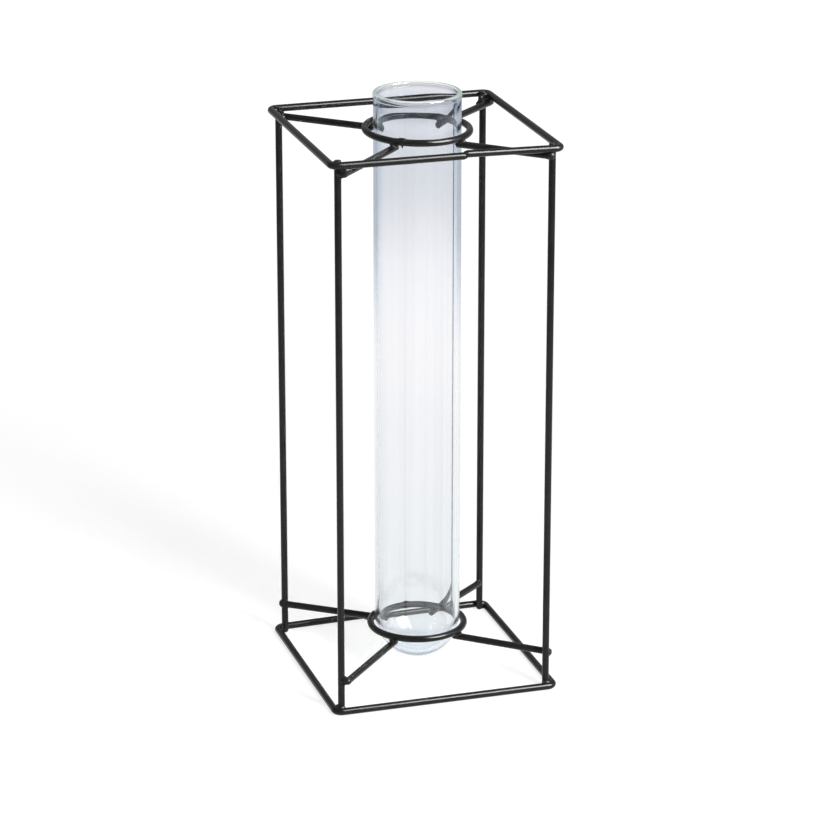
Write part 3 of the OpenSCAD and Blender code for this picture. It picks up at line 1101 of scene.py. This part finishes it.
def floorMaterial(values):
    material = bpy.data.materials.new("pale floor")
    material.use_nodes = True
    tree = material.node_tree
    tree.nodes.clear()
    out = tree.nodes.new("ShaderNodeOutputMaterial")
    matt = tree.nodes.new("ShaderNodeBsdfDiffuse")
    matt.inputs["Color"].default_value = (values["diffuse"],) * 3 + (1,)
    glow = tree.nodes.new("ShaderNodeEmission")
    place = tree.nodes.new("ShaderNodeTexCoord")
    away = tree.nodes.new("ShaderNodeVectorMath")
    away.operation = "LENGTH"
    tree.links.new(place.outputs["Object"], away.inputs[0])

    split = tree.nodes.new("ShaderNodeSeparateXYZ")
    tree.links.new(place.outputs["Object"], split.inputs["Vector"])
    distance = away.outputs["Value"]
    own = remap(tree, distance, values["near"], values["far"], values["ownNear"],
                values["ownFar"])
    farShare = remap(tree, split.outputs["Y"], values["frontFrom"], values["frontTo"],
                     values["mirroredFront"], values["mirroredBehind"])
    share = remap(tree, distance, values["mirrorNear"], values["mirrorFar"],
                  values["mirroredNear"], farShare)
    rays = tree.nodes.new("ShaderNodeLightPath")
    seen = mathNode(tree, "MAXIMUM", rays.outputs["Is Camera Ray"],
                    rays.outputs["Is Transmission Ray"])
    seen = mathNode(tree, "MAXIMUM", seen, rays.outputs["Is Glossy Ray"])
    mirrored = mathNode(tree, "MINIMUM", rays.outputs["Glossy Depth"], 1.0)
    lost = mathNode(tree, "MULTIPLY", mirrored, mathNode(tree, "SUBTRACT", 1.0, share))
    seen = mathNode(tree, "MULTIPLY", seen, mathNode(tree, "SUBTRACT", 1.0, lost))
    tree.links.new(mixed(tree, lost, (1, 1, 1, 1), values["mirrorTint"]), glow.inputs["Color"])
    tree.links.new(mathNode(tree, "MULTIPLY", seen, own), glow.inputs["Strength"])
    both = tree.nodes.new("ShaderNodeAddShader")
    tree.links.new(matt.outputs["BSDF"], both.inputs[0])
    tree.links.new(glow.outputs["Emission"], both.inputs[1])
    tree.links.new(both.outputs["Shader"], out.inputs["Surface"])
    return material


side = floorValues["size"] / 2
floorMesh = bpy.data.meshes.new("pale_floor")
floorMesh.from_pydata([(-side, -side, 0), (side, -side, 0), (side, side, 0), (-side, side, 0)], [],
                      [(0, 1, 2, 3)])
floor = bpy.data.objects.new("pale_floor", floorMesh)
bpy.context.collection.objects.link(floor)
floorMesh.materials.append(floorMaterial(floorValues))

# The sky is white to the camera, also through the glass, and dim for everything else
skyValues = {
    "light": 0.32,
    "mirrored": 0.34,
    "seen": 1.0,
}
world = bpy.data.worlds.new("studio")
bpy.context.scene.world = world
world.use_nodes = True
worldTree = world.node_tree
background = worldTree.nodes["Background"]
background.inputs["Color"].default_value = (1, 1, 1, 1)
rays = worldTree.nodes.new("ShaderNodeLightPath")
seen = mathNode(worldTree, "MAXIMUM", rays.outputs["Is Camera Ray"],
                rays.outputs["Is Transmission Ray"])
mirrored = mathNode(worldTree, "MULTIPLY", rays.outputs["Is Glossy Ray"], skyValues["mirrored"])
strength = mathNode(worldTree, "MULTIPLY", seen, skyValues["seen"])
strength = mathNode(worldTree, "MAXIMUM", strength, mirrored)
strength = mathNode(worldTree, "MAXIMUM", strength, skyValues["light"])
worldTree.links.new(strength, background.inputs["Strength"])

# The key is a narrow strip that draws the long lights on the wires. The window only shows as a
# reflection, on rim, dome and welds. The side lamp lifts the posts' right sides.
lampValues = {
    "key": {"toward": (0.278, -0.72, 0.64), "distance": 1.1, "width": 0.14, "height": 0.8,
            "power": 8.5, "lights": True},
    "window": {"toward": (0.563, -0.609, 0.559), "distance": 1.2, "width": 0.66, "height": 0.8,
               "power": 62.0, "lights": False},
    "side": {"toward": (0.95, -0.25, 0.35), "distance": 1.1, "width": 0.3, "height": 0.9,
             "power": 2.0, "lights": True},
}
lampsAimAt = Vector((0, 0, 0.13))
for name, lamp in lampValues.items():
    light = bpy.data.lights.new(name + " softbox", "AREA")
    light.shape = "RECTANGLE"
    light.size = lamp["width"]
    light.size_y = lamp["height"]
    light.energy = lamp["power"]
    holder = bpy.data.objects.new(name + " softbox", light)
    bpy.context.collection.objects.link(holder)
    toward = Vector(lamp["toward"]).normalized()
    holder.location = lampsAimAt + toward * lamp["distance"]
    holder.rotation_mode = "QUATERNION"
    holder.rotation_quaternion = (-toward).to_track_quat("-Z", "Y")
    holder.visible_diffuse = lamp["lights"]

# The photograph's own view
cameraValues = {
    "lens": 153.15,
    "sensor": 36.0,
    "azimuth": math.radians(-17.11),
    "elevation": math.radians(19.24),
    "distance": 1.54087,
    "aimHeight": 0.12406,
    "shiftRight": -0.00014,
    "shiftUp": -0.006113,
    "nearest": 0.1,
    "furthest": 30,
}
cam = bpy.data.cameras.new("photo view")
cam.lens = cameraValues["lens"]
cam.sensor_width = cameraValues["sensor"]
cam.clip_start = cameraValues["nearest"]
cam.clip_end = cameraValues["furthest"]
camera = bpy.data.objects.new("photo view", cam)
bpy.context.collection.objects.link(camera)
az = cameraValues["azimuth"]
el = cameraValues["elevation"]
back = Vector((math.sin(az) * math.cos(el), -math.cos(az) * math.cos(el), math.sin(el)))
rightWay = Vector((math.cos(az), math.sin(az), 0))
upWay = back.cross(rightWay)
target = Vector((0, 0, cameraValues["aimHeight"]))
target += rightWay * cameraValues["shiftRight"] + upWay * cameraValues["shiftUp"]
camera.rotation_mode = "QUATERNION"
camera.rotation_quaternion = Matrix((rightWay, upWay, back)).transposed().to_quaternion()
camera.location = target + back * cameraValues["distance"]
bpy.context.scene.camera = camera
bpy.context.scene.view_settings.view_transform = "Standard"
print("bud vase: floor, lamps and camera set")
